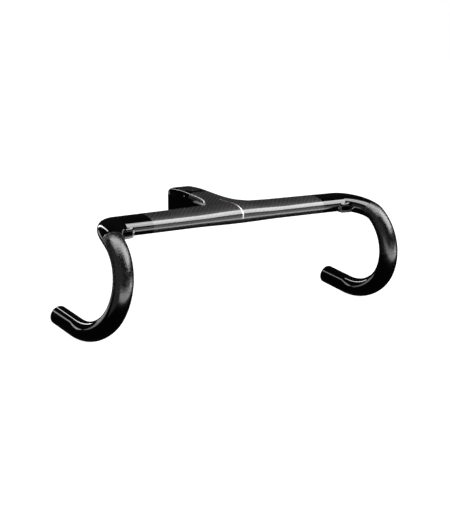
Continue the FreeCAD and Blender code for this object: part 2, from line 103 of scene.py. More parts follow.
def mesh_object(name, points, faces):
    data = bpy.data.meshes.new(name)
    data.from_pydata([tuple(p) for p in points], [], faces)
    data.update()
    made = bpy.data.objects.new(name, data)
    bpy.context.scene.collection.objects.link(made)
    return made


def signed_volume(points, faces):
    total = 0.0
    for face in faces:
        a, b, c = points[face[0]], points[face[1]], points[face[2]]
        total += np.dot(a, np.cross(b, c))
        if len(face) == 4:
            total += np.dot(a, np.cross(c, points[face[3]]))
    return total


def loft(name, rings):
    """A closed skin through rings of equally many points, with flat fans over both ends."""
    count, around = len(rings), len(rings[0])
    middles = [np.mean(rings[0], 0)], [np.mean(rings[-1], 0)]
    points = np.concatenate([np.asarray(rings).reshape(-1, 3), *middles])
    first, last = count * around, count * around + 1
    faces = []
    for i in range(count - 1):
        low, high = i * around, (i + 1) * around
        for j in range(around):
            k = (j + 1) % around
            faces.append((low + j, low + k, high + k, high + j))
    end = (count - 1) * around
    for j in range(around):
        k = (j + 1) % around
        faces.append((first, k, j))
        faces.append((last, end + j, end + k))
    if signed_volume(points, faces) < 0:
        faces = [face[::-1] for face in faces]
    return mesh_object(name, points, faces)


def superellipse(width, depth, power, around):
    """Points evenly spaced round a superellipse: across and rise."""
    turn = np.linspace(0, 2 * math.pi, 721)
    c, s = np.cos(turn), np.sin(turn)
    x = np.sign(c) * np.abs(c) ** (2 / power) * width / 2
    y = np.sign(s) * np.abs(s) ** (2 / power) * depth / 2
    run = np.concatenate([[0], np.cumsum(np.hypot(np.diff(x), np.diff(y)))])
    at = np.linspace(0, run[-1], around, endpoint=False)
    return np.interp(at, run, x), np.interp(at, run, y)


def section(centre, side, up, width, depth, power, around):
    across, rise = superellipse(width, depth, power, around)
    return centre + np.outer(across, side) + np.outer(rise, up)


def rod(radius, start, end, around=96):
    start, end = np.asarray(start, float), np.asarray(end, float)
    along = unit(end - start)
    side = unit(np.cross(along, X_AXIS if abs(along[0]) < 0.9 else Z_AXIS))
    up = np.cross(along, side)
    return loft("rod", [section(p, side, up, 2 * radius, 2 * radius, 2, around) for p in (start, end)])


def block(low, high):
    x, y, z = zip(low, high)
    ring = [(x[0], y[0]), (x[1], y[0]), (x[1], y[1]), (x[0], y[1])]
    return loft("block", [np.array([(a, b, c) for a, b in ring], float) for c in z])


def settle(obj):
    """Applies the object's modifiers to its mesh."""
    graph = bpy.context.evaluated_depsgraph_get()
    graph.update()
    data = bpy.data.meshes.new_from_object(obj.evaluated_get(graph))
    obj.modifiers.clear()
    old, obj.data = obj.data, data
    bpy.data.meshes.remove(old)
    return obj


def boolean(obj, other, operation="DIFFERENCE"):
    change = obj.modifiers.new("boolean", "BOOLEAN")
    change.solver = "MANIFOLD"
    change.operation = operation
    change.object = other
    settle(obj)
    data = other.data
    bpy.data.objects.remove(other)
    bpy.data.meshes.remove(data)
    return obj


def cut(obj, *others):
    for other in others:
        boolean(obj, other)
    return obj


def join(obj, *others):
    for other in others:
        boolean(obj, other, "UNION")
    return obj


def points_of(obj):
    flat = np.empty(len(obj.data.vertices) * 3, np.float32)
    obj.data.vertices.foreach_get("co", flat)
    return flat.reshape(-1, 3).astype(float)


def set_points(obj, points):
    obj.data.vertices.foreach_set("co", points.astype(np.float32).ravel())
    obj.data.update()


def edges_of(obj):
    flat = np.empty(len(obj.data.edges) * 2, np.int32)
    obj.data.edges.foreach_get("vertices", flat)
    return flat.reshape(-1, 2)


def relax(obj, weight, rounds):
    """Smooths the points that weight picks, from 0 to 1."""
    points, edges = points_of(obj), edges_of(obj)
    a = np.concatenate([edges[:, 0], edges[:, 1]])
    b = np.concatenate([edges[:, 1], edges[:, 0]])
    count = np.maximum(np.bincount(a, minlength=len(points)), 1)
    for _ in range(rounds):
        mean = np.stack([np.bincount(a, points[b, k], len(points)) / count for k in range(3)], 1)
        points += (mean - points) * weight[:, None] * 0.6
    set_points(obj, points)


def surface_of(obj):
    """The object's surface as it is now, for measuring distances later."""
    points = [v.co.copy() for v in obj.data.vertices]
    return BVHTree.FromPolygons(points, [p.vertices[:] for p in obj.data.polygons])


def soften_seam(obj, one, other, near):
    """Rounds off the crease where two surfaces met, around the point near."""
    points = points_of(obj)
    weight = np.zeros(len(points))
    for i in np.flatnonzero(np.linalg.norm(points - near, axis=1) < SEAM_RADIUS):
        p = Vector(points[i])
        gap = 0.0
        for surface in (one, other):
            found = surface.find_nearest(p, SEAM_REACH)
            gap = max(gap, SEAM_REACH if found[0] is None else found[3])
        weight[i] = (1 - gap / SEAM_REACH) ** 2
    relax(obj, weight, SEAM_ROUNDS)


def place(obj, name, node, material):
    """Names a piece, brings it from millimetres to metres and puts it in its CAD node's place."""
    obj.name = name
    set_points(obj, points_of(obj) * MM)
    obj.data.shade_smooth()
    obj.data.set_sharp_from_angle(angle=math.radians(35))
    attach(obj, "cockpit")
    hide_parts(node)
    obj.data.materials.clear()
    obj.data.materials.append(material)


def point_value(obj, name, values):
    """Stores a number at each point, for the materials to read."""
    layer = obj.data.attributes.new(name, "FLOAT", "POINT")
    layer.data.foreach_set("value", values.astype(np.float32))


# ---- Tops and stem ---------------------------------------------------------------------------------------

TILT = math.radians(TOPS_TILT)
TOPS_UP = np.array((0, math.sin(TILT), math.cos(TILT)))
TOPS_SIDE = np.cross(X_AXIS, TOPS_UP)


def tops_size(x):
    """The tops' chord and depth."""
    x = np.abs(x)
    chord = CENTRE_CHORD + (SHOULDER_CHORD - CENTRE_CHORD) * np.minimum(x / TOPS_HALF, 1)
    swell = np.where(x < SWELL_HALF, CENTRE_SWELL * (1 + np.cos(math.pi * x / SWELL_HALF)) / 2, 0)
    return chord, TOPS_DEPTH + swell


def tops_centre(x):
    share = np.abs(x) / TOPS_HALF
    return np.stack([x, BAR_Y + TOPS_SWEEP * share ** 2, -BAR_DROP - TOPS_FALL * share], -1)


def tops_loft(half, inset=0.0, step=2.0, around=128):
    rings = []
    for x in np.linspace(-half, half, int(2 * half / step) + 1):
        chord, depth = tops_size(x)
        rings.append(section(
            tops_centre(x), TOPS_SIDE, TOPS_UP, chord - 2 * inset, depth - 2 * inset,
            TOPS_SQUARENESS, around))
    return loft("tops", rings)


def stem_size(y):
    """The stem's width, height and middle level."""
    share = np.clip(-y / STEM_REACH, 0, 1)
    width = CLAMP_WIDTH + (STEM_FRONT_WIDTH - CLAMP_WIDTH) * share ** STEM_FLARE_POWER
    return width, CLAMP_HEIGHT + (TOPS_DEPTH - CLAMP_HEIGHT) * share, -BAR_DROP * share


def stem_loft(from_y, inset=0.0, count=90, around=140):
    rings = []
    for y in np.linspace(from_y, BAR_Y, count):
        width, height, middle = stem_size(y)
        rings.append(section(
            np.array((0, y, middle)), X_AXIS, Z_AXIS, width - 2 * inset, height - 2 * inset,
            STEM_SQUARENESS, around))
    return loft("stem", rings)


def underside(y):
    _, height, middle = stem_size(y)
    return middle - height / 2


def tops_level(p):
    """Below 0 inside the endless tops, above 0 outside."""
    chord, depth = tops_size(p[:, 0])
    offset = p - tops_centre(p[:, 0])
    a, b = np.abs(offset @ TOPS_SIDE) * 2 / chord, np.abs(offset @ TOPS_UP) * 2 / depth
    return (a ** TOPS_SQUARENESS + b ** TOPS_SQUARENESS) ** (1 / TOPS_SQUARENESS) - 1


def stem_level(p):
    width, height, middle = stem_size(p[:, 1])
    a, b = np.abs(p[:, 0]) * 2 / width, np.abs(p[:, 2] - middle) * 2 / height
    return (a ** STEM_SQUARENESS + b ** STEM_SQUARENESS) ** (1 / STEM_SQUARENESS) - 1


def measured(level, p, step=0.05):
    """Distance to where level is 0, and the direction away from it."""
    slope = np.stack([
        (level(p + axis * step) - level(p - axis * step)) / (2 * step) for axis in np.eye(3)], 1)
    steep = np.maximum(np.linalg.norm(slope, axis=1), 1e-6)
    return level(p) / steep, slope / steep[:, None]


def rounded_rear(across, y, half, r):
    """Distance outside an outline that is square but for its two rear corners of radius r."""
    q = np.stack([np.abs(across) - (half - r), y - (CLAMP_REAR - r)], 1)
    return np.linalg.norm(np.maximum(q, 0), axis=1) + np.minimum(q.max(1), 0) - r


def stem_distance(p):
    """As measured(stem_level), ending at the bar, with the back rounded in plan and in side view."""
    far, away = measured(stem_level, p)
    ahead = BAR_Y - p[:, 1]
    away = np.where((ahead > far)[:, None], -Y_AXIS, away)
    far = np.maximum(far, ahead)
    rear = p[:, 1] > -15
    for axis, half, r in ((0, CLAMP_WIDTH / 2, CLAMP_CORNER_R), (2, CLAMP_HEIGHT / 2, REAR_EDGE_R)):
        def level(q, axis=axis, half=half, r=r):
            return rounded_rear(q[:, axis], q[:, 1], half, r)
        trim, trim_away = measured(level, p)
        h = np.clip(0.5 + 0.5 * (trim - far) / REAR_SOFTNESS, 0, 1) * rear
        far = trim * h + far * (1 - h) + REAR_SOFTNESS * h * (1 - h)
        away = trim_away * h[:, None] + away * (1 - h)[:, None]
    return far, away


def pull_to_skin(p):
    """Moves points onto the blended skin of the tops and the stem."""
    for _ in range(PULL_ROUNDS):
        a, away_a = measured(tops_level, p)
        b, away_b = stem_distance(p)
        lean = np.sqrt(np.maximum(1 - np.sum(away_a * away_b, 1) ** 2, 0))
        behind = np.clip((p[:, 1] - BAR_Y - BLEND_FROM) / BLEND_RUN, 0, 1)
        k = np.maximum(BLEND_R * lean * behind ** 2 * (3 - 2 * behind), 1e-3)
        h = np.clip(0.5 + 0.5 * (b - a) / k, 0, 1)
        far = b * (1 - h) + a * h - k * h * (1 - h)
        away = away_a * h[:, None] + away_b * (1 - h)[:, None]
        away /= np.maximum(np.linalg.norm(away, axis=1), 1e-6)[:, None]
        p = p - away * np.clip(far, -PULL_STEP, PULL_STEP)[:, None]
    return p


def oval(size, low, high, lip=0.0):
    """An oval prism along the left port's axis, with its outer rim rounded by lip."""
    yaw = math.radians(PORT_YAW)
    faces = np.array((-math.sin(yaw), -math.cos(yaw), 0))
    along = np.cross(Z_AXIS, faces)
    levels = [(low, 0.0), (high, 0.0)]
    if lip:
        turns = np.radians(np.linspace(15, 90, 6))
        levels = [(x, 0.0) for x in np.linspace(low, high - lip, 14)]
        levels += [(high - lip + lip * math.sin(t), lip * (1 - math.cos(t))) for t in turns]
    rings = []
    for reach, inset in levels:
        u, v = oval_ring(size[0] / 2 - size[1] / 2, size[1] / 2 - inset)
        rings.append(PORT_AT + faces * reach + np.outer(u, along) + np.outer(v, Z_AXIS))
    return loft("oval", rings)


def oval_ring(half, r):
    """Two half circles of radius r, their middles half to each side."""
    turn = np.linspace(0, 2 * math.pi, 120, endpoint=False)
    return r * np.cos(turn) + np.where(np.cos(turn) > 0, half, -half), r * np.sin(turn)


def computer_pad():
    half_x, half_y = PAD_HALF
    rings = []
    for z, inset in ((PAD_Z, 0.5), (PAD_Z + 0.15, 0.2), (PAD_Z + 0.5, 0.0), (PAD_Z + 5, 0.0)):
        x, y = oval_ring(half_x - half_y, half_y - inset)
        rings.append(np.stack([x, PAD_Y + y, np.full_like(x, z)], 1))
    return loft("pad", rings)


def centre_skin():
    """The tops and the stem as one smooth closed skin."""
    skin = join(tops_loft(JOINT_X + 9), stem_loft(CLAMP_REAR + 0.5))
    even = skin.modifiers.new("even", "REMESH")
    even.mode = "VOXEL"
    even.voxel_size = SKIN_VOXEL
    settle(skin)
    p = points_of(skin)
    inside = np.abs(p[:, 0]) < JOINT_X + 6
    p[inside] = pull_to_skin(p[inside])
    set_points(skin, p)
    for side in (-1, 1):
        low, high = sorted((side * JOINT_X, side * (JOINT_X + 60)))
        cut(skin, block((low, BAR_Y - 60, -60), (high, BAR_Y + 60, 60)))
    return skin


def cover_screws_y():
    return CABLE_COVER_Y[0] + SCREW_INSET, CABLE_COVER_Y[1] - SCREW_INSET


def stem_hollow():
    """The space inside the stem and the tops, less the steerer's wall and the bosses round the inserts."""
    hollow = join(stem_loft(-2.0, STEM_WALL), tops_loft(JOINT_X + 1, BAR_WALL, 4.0, 96))
    cut(hollow, rod(STEERER_R + STEERER_WALL, (0, 0, -BEYOND), (0, 0, BEYOND)))
    for y in cover_screws_y():
        cut(hollow, rod(COVER_BOSS_R, (0, y, underside(y) + 1), (0, y, underside(y) + 10)))
    for x in (-PAD_SPACING / 2, PAD_SPACING / 2):
        cut(hollow, rod(PAD_BOSS_R, (x, PAD_Y, PAD_Z + 1), (x, PAD_Y, PAD_Z + 8)))
    return hollow


def weave_round(front, rise, chord, depth):
    """How far round the tops from the middle of their upper side towards the nose, or behind it."""
    turn = np.linspace(-1.5 * math.pi, 0.5 * math.pi, 721)[::-1]
    c, s = np.cos(turn), np.sin(turn)
    x = np.sign(c) * np.abs(c) ** (2 / TOPS_SQUARENESS) * (CENTRE_CHORD + SHOULDER_CHORD) / 4
    y = np.sign(s) * np.abs(s) ** (2 / TOPS_SQUARENESS) * TOPS_DEPTH / 2
    run = np.concatenate([[0], np.cumsum(np.hypot(np.diff(x), np.diff(y)))])
    a = np.sign(front) * np.abs(front * 2 / chord) ** (TOPS_SQUARENESS / 2)
    b = np.sign(rise) * np.abs(rise * 2 / depth) ** (TOPS_SQUARENESS / 2)
    from_top = np.mod(math.pi / 2 - np.arctan2(b, a), 2 * math.pi)
    return np.where((front < 0) & (rise > 0), front, np.interp(from_top, math.pi / 2 - turn, run))


def centre_piece():
    centre = centre_skin()
    join(centre, rod(FOOT_R, (0, 0, FOOT_Z), (0, 0, -4)), computer_pad())
    cut(centre, stem_hollow())
    cut(centre, rod(STEERER_R, (0, 0, -BEYOND), (0, 0, BEYOND)))
    cut(centre, rod(COVER_RECESS_R, (0, 0, COVER_SEAT_Z), (0, 0, BEYOND)))
    cut(centre, block((-SLOT_HALF, STEERER_R - 4, -BEYOND), (SLOT_HALF, CLAMP_REAR + 6, BEYOND)))
    for z in (BOLT_Z, -BOLT_Z):
        cut(centre, rod(BOLT_HOLE_R, (BOLT_HOLE_END_X, BOLT_Y, z), (SEAT_X + 1, BOLT_Y, z)))
        cut(centre, rod(BOLT_SEAT_R, (SEAT_X, BOLT_Y, z), (BEYOND, BOLT_Y, z)))
        cut(centre, rod(INSERT_R, (INSERT_END_X, BOLT_Y, z), (0, BOLT_Y, z)))
    front_y, rear_y = CABLE_COVER_Y
    half = CABLE_COVER_HALF + POCKET_GAP
    pocket = block((-half, front_y - POCKET_GAP, -BEYOND), (half, rear_y + POCKET_GAP, 0))
    cut(pocket, stem_loft(2.0, CABLE_COVER_T + 0.1))
    cut(centre, pocket)
    seat = 2 * SCREW_INSET + 1
    for low_y, high_y in ((front_y + seat, rear_y - seat), OUTLET_Y):
        cut(centre, block((-OUTLET_HALF, low_y, -BEYOND), (OUTLET_HALF, high_y, -8)))
    for y in cover_screws_y():
        cut(centre, rod(COVER_BORE_R, (0, y, -BEYOND), (0, y, underside(y) + COVER_BORE_DEPTH)))
    for x in (-PAD_SPACING / 2, PAD_SPACING / 2):
        cut(centre, rod(PAD_BORE_R, (x, PAD_Y, PAD_Z - 1), (x, PAD_Y, PAD_Z + PAD_BORE_DEPTH)))
    return centre


def lay_weave(centre):
    """Gives the centre piece the weave's coordinates, and says where it shows."""
    p = points_of(centre)
    chord, depth = tops_size(p[:, 0])
    offset = p - tops_centre(p[:, 0])
    on_tops = np.clip((JOINT_X - WEAVE_SIDE_GAP - np.abs(p[:, 0])) / 0.4, 0, 1)
    ahead = np.clip((WEAVE_REAR_Y - p[:, 1]) / 0.5, 0, 1)
    upper = np.clip(p[:, 2] - (underside(p[:, 1]) + 0.8 * stem_size(p[:, 1])[1]), 0, 1)
    point_value(centre, "weave_u", p[:, 0])
    point_value(centre, "weave_v", weave_round(offset @ TOPS_SIDE, offset @ TOPS_UP, chord, depth))
    point_value(centre, "weave_share", np.where(p[:, 1] > BAR_Y + 22, ahead * upper, on_tops))


# ---- Drops -----------------------------------------------------------------------------------------------

def heading(angle):
    """A direction in the left hook's plane: 0 is forward, 90 is down and 180 is back to the rider."""
    toe, flare = math.radians(HOOK_TOE), math.radians(HOOK_FLARE)
    ahead = np.array((math.sin(toe), -math.cos(toe), 0))
    down = np.array((math.sin(flare), 0, -math.cos(flare)))
    down = unit(down - ahead * np.dot(down, ahead))
    return ahead * math.cos(math.radians(angle)) + down * math.sin(math.radians(angle))


def drop_line(from_x, run, fine=120):
    """The left drop's closely spaced sections: point, width, depth and squareness, one row each."""
    rows = []
    for x in np.linspace(from_x, TOPS_HALF, fine + 1):
        rows.append((*tops_centre(x), *tops_size(x), TOPS_SQUARENESS))
    start, end = np.array(rows[-1][:3]), np.array((HOOK_X, BAR_Y - HOOK_AHEAD, -BAR_DROP - HOOK_BELOW))
    leave = unit(np.array((TOPS_HALF, 2 * TOPS_SWEEP, -TOPS_FALL)))
    reach = BEND_REACH * np.linalg.norm(end - start)
    chord, depth = tops_size(TOPS_HALF)
    for i in range(1, fine + 1):
        t = i / fine
        blend = t * t * (3 - 2 * t)
        point = (start * (2 * t ** 3 - 3 * t ** 2 + 1) + leave * reach * (t ** 3 - 2 * t ** 2 + t)
                 + end * (3 * t ** 2 - 2 * t ** 3) + heading(HOOK_START) * reach * (t ** 3 - t ** 2))
        rows.append((*point, chord + (HOOK_NECK[0] - chord) * blend, depth + (HOOK_NECK[1] - depth) * blend,
                     TOPS_SQUARENESS + (2 - TOPS_SQUARENESS) * blend))
    angle = HOOK_START
    for index, (radius, to_angle) in enumerate(HOOK_ARCS):
        centre = np.array(rows[-1][:3]) + heading(angle + 90) * radius
        for i in range(1, fine + 1):
            share = i / fine if index == 0 else 1.0
            point = centre - heading(angle + (to_angle - angle) * i / fine + 90) * radius
            size = [neck + (2 * GRIP_R - neck) * share for neck in HOOK_NECK]
            rows.append((*point, *size, 2.0))
        angle = to_angle
    last = np.array(rows[-1][:3])
    for i in range(1, fine + 1):
        rows.append((*(last + heading(angle) * run * i / fine), 2 * GRIP_R, 2 * GRIP_R, 2.0))
    return np.array(rows)


def lengths_along(line):
    """How far along the line each row is."""
    steps = np.linalg.norm(np.diff(line[:, :3], axis=0), axis=1)
    return np.concatenate([[0], np.cumsum(steps)])


def carried_frames(line):
    """Side and up for each row, square to the path and carried along it without twist."""
    along = np.gradient(line[:, :3], axis=0)
    along /= np.linalg.norm(along, axis=1)[:, None]
    along[0] = X_AXIS
    sides, ups, up = [], [], TOPS_UP
    for direction in along:
        up = unit(up - direction * np.dot(up, direction))
        ups.append(up)
        sides.append(np.cross(direction, up))
    return np.array(sides), np.array(ups)


def drop_rings(line, at, inset, around, end_edge=0.0):
    """The line's sections at the lengths at, shrunk by inset and rounded off by end_edge at the open end."""
    sides, ups = carried_frames(line)
    run = lengths_along(line)
    table = np.concatenate([line, sides, ups], 1)
    rows = np.stack([np.interp(at, run, table[:, k]) for k in range(table.shape[1])], 1)
    rings = []
    for row, s in zip(rows, at):
        width, depth, power = row[3:6]
        edge = 0.0
        if end_edge and s > run[-1] - end_edge:
            edge = end_edge * (1 - math.sqrt(max(1 - ((s - run[-1] + end_edge) / end_edge) ** 2, 0)))
        shrink = 2 * (inset + edge)
        rings.append(section(
            row[:3], unit(row[6:9]), unit(row[9:12]), width - shrink, depth - shrink, power, around))
    return rings


def run_at(points, line, batch=20000):
    """How far along the drop each point is."""
    sides, ups = carried_frames(line)
    run = lengths_along(line)
    found = []
    for low in range(0, len(points), batch):
        part = points[low:low + batch]
        nearest = ((part[:, None, :] - line[None, :, :3]) ** 2).sum(2).argmin(1)
        along = np.cross(ups[nearest], sides[nearest])
        found.append(run[nearest] + np.sum((part - line[nearest, :3]) * along, 1))
    return np.concatenate(found)


def roughen(shell, line):
    """Raises the fine grit of the lever zone off the skin."""
    p = points_of(shell)
    s = run_at(p, line)
    inside = (s > LEVER_ZONE[0]) & (s < LEVER_ZONE[1])
    normals = np.empty(len(p) * 3, np.float32)
    shell.data.vertices.foreach_get("normal", normals)
    grit = RNG.random(len(p)) ** 3 * GRIT_HEIGHT
    p[inside] += normals.reshape(-1, 3)[inside] * grit[inside, None]
    set_points(shell, p)


def drop_stations(total):
    """Where along the drop its sections go, closer at the port, in the lever zone and at the open end."""
    port = PORT_AT[0] - JOINT_X
    low, high = LEVER_ZONE
    rest = np.arange(0, total - 1, 1.8)
    rest = rest[(np.abs(rest - port) > 17.5) & ((rest < low - 2.5) | (rest > high + 2.5))]
    at_port = np.arange(port - 17, port + 17, 0.6)
    in_zone = np.arange(low - 2, high + 2, 0.8)
    at_end = total - END_EDGE_R * (1 - np.sin(np.radians(np.linspace(0, 90, 6))))
    return np.unique(np.concatenate([rest, at_port, in_zone, at_end]))


def drop_piece(side):
    """One drop, from the bonded joint to its open end; side is 1 for the left one."""
    line = drop_line(JOINT_X, DROP_END_RUN)
    shell = loft("drop", drop_rings(line, drop_stations(lengths_along(line)[-1]), 0.0, 132, END_EDGE_R))
    roughen(shell, line)
    bar_skin = surface_of(shell)
    lip = oval(PORT_LIP, -10.0, PORT_RISE, PORT_LIP_R)
    lip_skin = surface_of(lip)
    join(shell, lip)
    soften_seam(shell, bar_skin, lip_skin, PORT_AT)
    inner_line = drop_line(JOINT_X - 6, DROP_END_RUN + 6)
    inner_at = np.arange(0, lengths_along(inner_line)[-1], 2.5)
    hollow = loft("hollow", drop_rings(inner_line, inner_at, BAR_WALL, 72))
    end, out = line[-1, :3], heading(HOOK_ARCS[-1][1])
    cut(shell, hollow, rod(BAR_END_R, end - out * DROP_END_RUN, end + out * 3))
    cut(shell, oval(PORT_HOLE, -14.0, 8.0))
    p = points_of(shell)
    point_value(shell, "run", run_at(p, line))
    if side < 0:
        p[:, 0] *= -1
        set_points(shell, p)
        shell.data.flip_normals()
    return shell


# ---- Materials -------------------------------------------------------------------------------------------

class Shader:
    """A material's node tree, with short ways to add and join nodes."""

    def __init__(self, name, sockets=()):
        self.material = bpy.data.materials.new(name)
        self.material.use_nodes = True
        self.tree = self.material.node_tree
        self.skin = self.tree.nodes["Principled BSDF"]
        for key, value in {"IOR": 1.5, **dict(sockets)}.items():
            self.skin.inputs[key].default_value = value

    def node(self, kind, inputs=(), **settings):
        made = self.tree.nodes.new(kind)
        for key, value in settings.items():
            setattr(made, key, value)
        for key, value in dict(inputs).items():
            if isinstance(value, bpy.types.NodeSocket):
                self.tree.links.new(value, made.inputs[key])
            else:
                made.inputs[key].default_value = value
        return made

    def math(self, operation, a, b=0.0, c=0.0):
        return self.node("ShaderNodeMath", {0: a, 1: b, 2: c}, operation=operation).outputs[0]

    def attribute(self, name):
        return self.node("ShaderNodeAttribute", attribute_name=name).outputs["Fac"]

    def place(self):
        """Object coordinates, in metres."""
        return self.node("ShaderNodeTexCoord").outputs["Object"]

    def noise(self, scale, detail=3.0, roughness=0.5, vector=None):
        made = self.node("ShaderNodeTexNoise", {"Scale": scale, "Detail": detail, "Roughness": roughness})
        self.tree.links.new(vector or self.place(), made.inputs["Vector"])
        return made.outputs[0]

    def product(self, first, *others):
        for other in others:
            first = self.math("MULTIPLY", first, other)
        return first

    def ramp(self, value, low, high, to_low, to_high):
        """Brings value from between low and high to between to_low and to_high, and no further."""
        made = self.node("ShaderNodeMapRange", {
            "Value": value, "From Min": low, "From Max": high, "To Min": to_low, "To Max": to_high})
        return made.outputs[0]

    def mix(self, share, a, b):
        """Mixes two numbers."""
        return self.node("ShaderNodeMix", {"Factor": share, "A": a, "B": b}, data_type="FLOAT").outputs[0]

    def tint(self, share, a, b):
        """Mixes two colours."""
        made = self.tree.nodes.new("ShaderNodeMix")
        made.data_type = "RGBA"
        sockets = {"Factor": made.inputs[0], "A": made.inputs[6], "B": made.inputs[7]}
        for key, value in (("Factor", share), ("A", a), ("B", b)):
            if isinstance(value, bpy.types.NodeSocket):
                self.tree.links.new(value, sockets[key])
            else:
                sockets[key].default_value = value if key == "Factor" else (*value, 1)
        return made.outputs[2]

    def feed(self, socket, value):
        self.tree.links.new(value, self.skin.inputs[socket])

    def bump(self, height, strength, distance, socket="Normal"):
        made = self.node("ShaderNodeBump", {"Height": height, "Strength": strength, "Distance": distance})
        self.feed(socket, made.outputs[0])

    def between(self, value, low, high, soft=0.001):
        """1 between low and high, and 0 elsewhere."""
        rising = self.ramp(value, low - soft, low, 0, 1)
        return self.product(rising, self.ramp(value, high, high + soft, 1, 0))

    def black_lacquer(self, mottle):
        return self.tint(mottle, (0.0002,) * 3, (0.0006,) * 3)


def woven(shader, across, along):
    """A 2x2 twill over two millimetre coordinates: height, which way the top tow runs, and fibre streaks."""
    work_out, product = shader.math, shader.product
    u, v = work_out("DIVIDE", across, TOW), work_out("DIVIDE", along, TOW)
    column, row = work_out("FLOOR", u), work_out("FLOOR", v)
    in_u, in_v = work_out("FRACT", u), work_out("FRACT", v)
    phase = work_out("FLOORED_MODULO", work_out("ADD", column, row), 4.0)
    warp = work_out("LESS_THAN", phase, 1.5)

    def crown(share):
        return work_out("SINE", product(share, math.pi))

    over_warp = work_out("DIVIDE", work_out("ADD", phase, in_v), 2.0)
    over_weft = work_out("DIVIDE", work_out("ADD", work_out("SUBTRACT", phase, 2.0), in_u), 2.0)
    height = shader.mix(
        warp, product(crown(in_v), crown(over_weft)), product(crown(in_u), crown(over_warp)))
    spot = shader.node("ShaderNodeCombineXYZ", {
        0: shader.mix(warp, product(u, 0.15), product(u, 6.0)),
        1: shader.mix(warp, product(v, 6.0), product(v, 0.15))}).outputs[0]
    fibres = shader.noise(2.0, 2.0, 0.6, spot)
    return height, warp, fibres


def carbon_centre():
    """Twill under clear lacquer on the tops and the stem's top, with painted sheen on its tows, plain black
    elsewhere, and a centre line with a painted highlight towards the nose.
    """
    s = Shader("carbon_laminate_centre", {"Coat Roughness": 0.03, "Specular IOR Level": 0.25})
    split = s.node("ShaderNodeSeparateXYZ")
    s.tree.links.new(s.place(), split.inputs[0])
    x, y, z = split.outputs
    height, warp, fibres = woven(s, s.attribute("weave_u"), s.attribute("weave_v"))
    shown = s.attribute("weave_share")
    mottle = s.noise(60.0, 4.0)
    # Painted sheen and shade: tows running one way are coloured lighter than the others, each tow's crown
    # lighter and its dips darker, standing in for light on the fibres; the fibre streaks and mottle are the
    # laminate's own tone
    grain_and_painted_sheen = s.product(
        s.mix(warp, 0.12, 1.25), s.ramp(height, 0, 1, 0.25, 1.15), s.ramp(fibres, 0.2, 0.8, 0.6, 1.3),
        s.ramp(mottle, 0.3, 0.7, 0.85, 1.12))
    weave = s.tint(grain_and_painted_sheen, (0.0005,) * 3, (0.014, 0.014, 0.0145))
    # The centre line is print; its colour fading from full at the nose to faint over the top is a painted
    # highlight, where the line faces the front light
    line = s.product(
        s.between(x, -LINE_HALF * MM, LINE_HALF * MM, LINE_EDGE * MM),
        s.math("LESS_THAN", y, LINE_REAR_Y * MM), s.math("GREATER_THAN", z, LINE_LOW_Z * MM),
        s.ramp(y, LINE_LIT_Y[0] * MM, LINE_LIT_Y[1] * MM, 1.0, 0.12))
    s.feed("Base Color", s.tint(line, s.tint(shown, s.black_lacquer(mottle), weave), (0.62, 0.5, 0.5)))
    dull = s.ramp(s.noise(35.0, 3.0), 0.3, 0.7, 0.42, 0.55)
    s.feed("Roughness", s.mix(shown, s.ramp(mottle, 0.3, 0.7, 0.03, 0.06), dull))
    s.feed("Coat Weight", s.ramp(shown, 0, 1, 0.5, 1.0))
    s.bump(s.product(height, shown), 0.55, 0.00018)
    s.bump(s.noise(260.0, 2.0), 0.05, 0.0002, "Coat Normal")
    return s.material


def carbon_drop():
    """Gloss black lacquer, a gritty zone for the lever clamp between two thin lines."""
    s = Shader("carbon_laminate_drop")
    run = s.attribute("run")
    low, high = LEVER_ZONE
    zone = s.between(run, low, high, 0.4)
    marks = s.math("MAXIMUM", s.between(run, low - 0.5, low, 0.1), s.between(run, high, high + 0.5, 0.1))
    grit = s.noise(700.0, 4.0, 0.75)
    coarse = s.noise(330.0, 2.0, 0.6)
    matt = s.tint(s.ramp(grit, 0.45, 0.7, 0, 1), (0.0005,) * 3, (0.012, 0.012, 0.0125))
    skin = s.tint(zone, s.black_lacquer(s.noise(50.0, 4.0)), matt)
    s.feed("Base Color", s.tint(marks, skin, (0.03,) * 3))
    haze = s.product(s.ramp(run, high, high + 45, 0.2, 0.0), s.math("GREATER_THAN", run, low))
    smooth = s.math("ADD", s.ramp(s.noise(30.0, 3.0), 0.3, 0.7, 0.035, 0.075), haze)
    s.feed("Roughness", s.mix(zone, smooth, s.ramp(coarse, 0.35, 0.65, 0.08, 0.28)))
    s.bump(s.mix(zone, s.product(s.noise(260.0, 2.0), 0.05), s.math("ADD", grit, coarse)), 0.5, 0.0004)
    return s.material


def plain(name, dark, light, roughness, scale, metallic=0.0, bump=0.1, stretch=None):
    """A material whose colour, roughness and fine relief follow one noise."""
    s = Shader(name, {"Metallic": metallic})
    vector = None
    if stretch:
        vector = s.node("ShaderNodeMapping", {"Vector": s.place(), "Scale": stretch}).outputs[0]
    value = s.noise(scale, 5.0, 0.65, vector)
    s.feed("Base Color", s.tint(s.ramp(value, 0.3, 0.7, 0, 1), dark, light))
    s.feed("Roughness", s.ramp(value, 0.3, 0.7, *roughness))
    s.bump(value, bump, 0.0001)
    return s.material


def grey(value):
    return value, value, value * 1.03


# ---- Pieces ----------------------------------------------------------------------------------------------

centre = centre_piece()
lay_weave(centre)
place(centre, "centre_shell", "centre_moulding", carbon_centre())
drop_material = carbon_drop()
drops = {side: drop_piece(sign) for side, sign in (("left", 1), ("right", -1))}
for side, drop in drops.items():
    place(drop, side + "_drop_shell", side + "_drop", drop_material)

